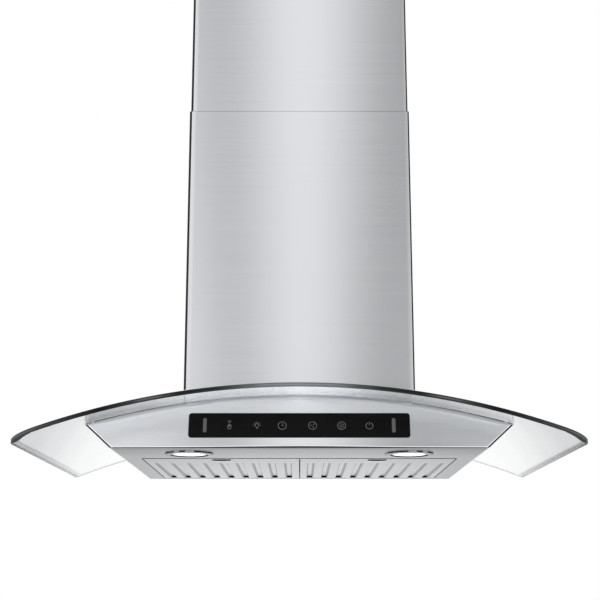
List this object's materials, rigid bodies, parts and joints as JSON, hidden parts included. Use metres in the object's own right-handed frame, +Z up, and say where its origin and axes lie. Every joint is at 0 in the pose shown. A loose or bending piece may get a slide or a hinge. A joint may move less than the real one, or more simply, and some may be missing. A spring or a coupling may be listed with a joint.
{
  "type": "range hood",
  "caption": "Ceiling-hung range hood: bent glass canopy, square telescopic chimney, hinged louvred grease filters, lamps, touch panel and duct blower.",
  "frame": {"origin": "centre of the ceiling bolt pattern, on the ceiling plate's upper face", "axes": "+X to the right seen from the front, front faces -Y, +Z up to the ceiling"},
  "size_m": [0.9, 0.6, 0.9276],
  "materials": {
    "steel": "satin",
    "galvanised": "satin",
    "glass": "gloss",
    "black_glass": "gloss",
    "black_plastic": "matte",
    "grey_plastic": "gloss",
    "white_plastic": "matte",
    "board": "matte",
    "lens": "frosted",
    "rubber": "matte",
    "clear_rubber": "matte",
    "aluminium": "satin",
    "zinc": "satin",
    "motor_case": "satin"
  },
  "bodies": {
    "ceiling_frame": {"ceiling_plate": "galvanised", "upper_legs": "galvanised", "upper_leg_screws": "zinc", "upper_chimney": "steel", "upper_chimney_screws": "zinc"},
    "hood": {"lower_legs": "galvanised", "leg_clamp_bolts": "zinc", "deck_screws": "zinc", "glass_canopy": "glass", "glass_seal": "clear_rubber", "glass_bushes": "rubber", "glass_screws": "zinc", "deck_plate": "galvanised", "front_panel": "steel", "rear_panel": "steel", "left_side_panel": "steel", "right_side_panel": "steel", "bottom_plate": "steel", "blower_box": "galvanised", "volute_scroll": "galvanised", "left_volute_side": "galvanised", "right_volute_side": "galvanised", "motor": "motor_case", "motor_bracket": "galvanised", "outlet_collar": "galvanised", "collar_flange": "galvanised", "damper_rod": "zinc", "capacitor": "white_plastic", "terminal_box": "black_plastic", "cable_gland": "black_plastic", "control_box": "black_plastic", "control_box_lid": "black_plastic", "control_board": "board", "touch_panel": "black_glass", "touch_board": "board", "sensor_windows": "grey_plastic", "wiring": "black_plastic", "left_lamp_bezel": "zinc", "right_lamp_bezel": "zinc", "left_lamp_lens": "lens", "right_lamp_lens": "lens", "left_lamp_body": "aluminium", "right_lamp_body": "aluminium", "lamp_clips": "zinc"},
    "lower_chimney": {"lower_chimney": "steel", "chimney_seal": "rubber"},
    "filter_left": {"left_filter_frame": "steel", "left_filter_face": "steel", "left_filter_back": "aluminium", "left_latch_spring": "zinc"},
    "filter_right": {"right_filter_frame": "steel", "right_filter_face": "steel", "right_filter_back": "aluminium", "right_latch_spring": "zinc"},
    "latch_left": {"left_latch": "steel"},
    "latch_right": {"right_latch": "steel"},
    "impeller": {"impeller": "galvanised", "motor_shaft": "zinc"},
    "damper_front": {"front_damper_flap": "aluminium"},
    "damper_rear": {"rear_damper_flap": "aluminium"}
  },
  "joints": [
    {"name": "height_adjust", "type": "slide", "parent": "ceiling_frame", "child": "hood", "axis": [0, 0, 1], "range_m": [-0.1, 0.15]},
    {"name": "chimney_lift", "type": "slide", "parent": "hood", "child": "lower_chimney", "axis": [0, 0, 1], "range_m": [0, 0.15]},
    {"name": "left_filter_hinge", "type": "hinge", "parent": "hood", "child": "filter_left", "pos_m": [-0.1345, 0.284, -0.92], "axis": [1, 0, 0], "range_deg": [0, 60]},
    {"name": "right_filter_hinge", "type": "hinge", "parent": "hood", "child": "filter_right", "pos_m": [0.1345, 0.284, -0.92], "axis": [1, 0, 0], "range_deg": [0, 60]},
    {"name": "left_latch_slide", "type": "slide", "parent": "filter_left", "child": "latch_left", "axis": [0, 1, 0], "range_m": [0, 0.006], "stiffness_N_per_m": 500, "springref_m": -0.004, "deforming": ["left_latch_spring"]},
    {"name": "right_latch_slide", "type": "slide", "parent": "filter_right", "child": "latch_right", "axis": [0, 1, 0], "range_m": [0, 0.006], "stiffness_N_per_m": 500, "springref_m": -0.004, "deforming": ["right_latch_spring"]},
    {"name": "impeller_spin", "type": "hinge", "parent": "hood", "child": "impeller", "pos_m": [0, -0.046, -0.73279], "axis": [1, 0, 0], "continuous": true},
    {"name": "front_damper_hinge", "type": "hinge", "parent": "hood", "child": "damper_front", "pos_m": [0, 0, -0.53979], "axis": [-1, 0, 0], "range_deg": [0, 78]},
    {"name": "rear_damper_hinge", "type": "hinge", "parent": "hood", "child": "damper_rear", "pos_m": [0, 0, -0.53979], "axis": [1, 0, 0], "range_deg": [0, 78]}
  ]
}
